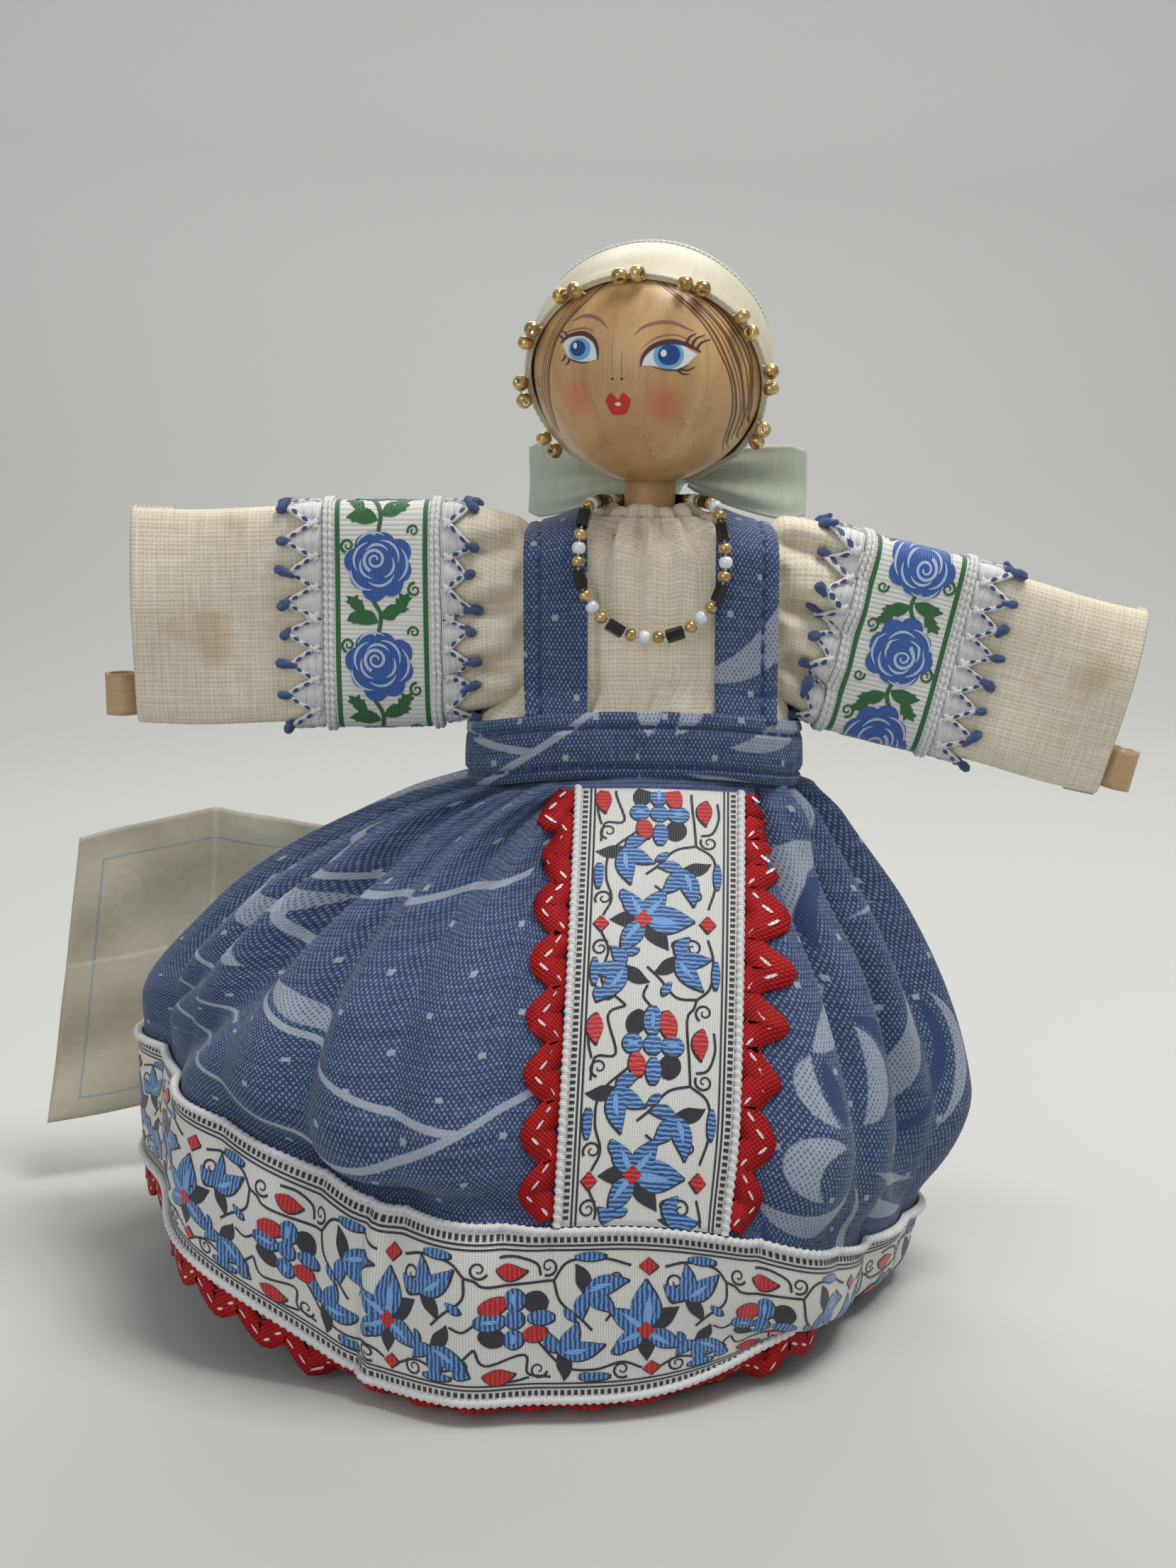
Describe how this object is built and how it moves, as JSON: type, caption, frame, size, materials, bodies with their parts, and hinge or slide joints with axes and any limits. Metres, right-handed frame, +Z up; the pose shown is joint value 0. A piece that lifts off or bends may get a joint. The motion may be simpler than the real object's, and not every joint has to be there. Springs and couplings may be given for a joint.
{
  "type": "folk costume doll",
  "caption": "Standing folk costume doll with a turned wooden head, beaded headscarf, necklace, linen blouse and a wide ribbon-trimmed pinafore skirt.",
  "frame": {"origin": "centre of the foot's flat underside, under the neck post", "axes": "+Z up along the neck post, -Y the way the doll's front faces, +X towards the doll's left arm"},
  "size_m": [0.1994, 0.1254, 0.1769],
  "materials": {
    "turned_wood": "varnished, fine grain",
    "cream_linen": "coarse plain weave",
    "wadding": "soft filling",
    "blue_damask": "matt blue damask with pale scrolls",
    "woven_ribbon": "white jacquard with blue, red and black flowers",
    "rose_ribbon": "pale ribbed ribbon with blue roses",
    "red_rickrack": "red braid with silver dashes",
    "white_lace": "white cotton lace with blue thread knots",
    "cream_satin": "soft satin sheen",
    "gold_glass": "gold-lined glass beads",
    "necklace_glass": "gold, pearl and dark glass beads",
    "tan_strip": "smooth tan strip",
    "aged_paper": "aged, creased"
  },
  "bodies": {
    "stand": {"foot_disc": "turned_wood", "body_post": "turned_wood", "torso_padding": "wadding", "blouse_body": "cream_linen", "collar_frill": "cream_linen", "strap_left": "blue_damask", "strap_right": "blue_damask", "waistband": "blue_damask", "skirt": "blue_damask", "front_ribbon": "woven_ribbon", "front_rickrack_left": "red_rickrack", "front_rickrack_right": "red_rickrack", "hem_ribbon": "woven_ribbon", "hem_rickrack": "red_rickrack"},
    "head": {"head_ball": "turned_wood", "head_scarf": "cream_satin", "scarf_knot": "cream_satin", "bow_loop_left": "cream_satin", "bow_loop_right": "cream_satin", "bow_tail_left": "cream_satin", "bow_tail_right": "cream_satin", "scarf_bead_pair_1": "gold_glass", "scarf_bead_pair_2": "gold_glass", "scarf_bead_pair_3": "gold_glass", "scarf_bead_pair_4": "gold_glass", "scarf_bead_pair_5": "gold_glass", "scarf_bead_pair_6": "gold_glass", "scarf_bead_pair_7": "gold_glass", "scarf_bead_pair_8": "gold_glass", "scarf_bead_pair_9": "gold_glass"},
    "necklace": {"necklace": "necklace_glass"},
    "left_arm": {"sleeve_left": "cream_linen", "sleeve_ribbon_left": "rose_ribbon", "sleeve_lace_inner_left": "white_lace", "sleeve_lace_outer_left": "white_lace", "arm_strip_left": "tan_strip"},
    "right_arm": {"sleeve_right": "cream_linen", "sleeve_ribbon_right": "rose_ribbon", "sleeve_lace_inner_right": "white_lace", "sleeve_lace_outer_right": "white_lace", "arm_strip_right": "tan_strip"},
    "tag": {"paper_tag": "aged_paper"}
  },
  "joints": [
    {"name": "head_turn", "type": "hinge", "parent": "stand", "child": "head", "pos_m": [0, 0, 0.1567], "axis": [0, 0, 1], "range_deg": [-12, 22]},
    {"name": "necklace_lift", "type": "hinge", "parent": "stand", "child": "necklace", "pos_m": [0, 0.0057, 0.13437], "axis": [-1, 0, 0], "range_deg": [0, 20]},
    {"name": "left_arm_tilt", "type": "hinge", "parent": "stand", "child": "left_arm", "pos_m": [0.0213, 0, 0.1155], "axis": [0, -1, 0], "range_deg": [0, 26]},
    {"name": "right_arm_tilt", "type": "hinge", "parent": "stand", "child": "right_arm", "pos_m": [-0.0213, 0, 0.1155], "axis": [0, 1, 0], "range_deg": [0, 14]},
    {"name": "tag_swing", "type": "hinge", "parent": "stand", "child": "tag", "pos_m": [-0.05, 0.05283, 0.0725], "axis": [0, 0, -1], "range_deg": [0, 60]}
  ]
}
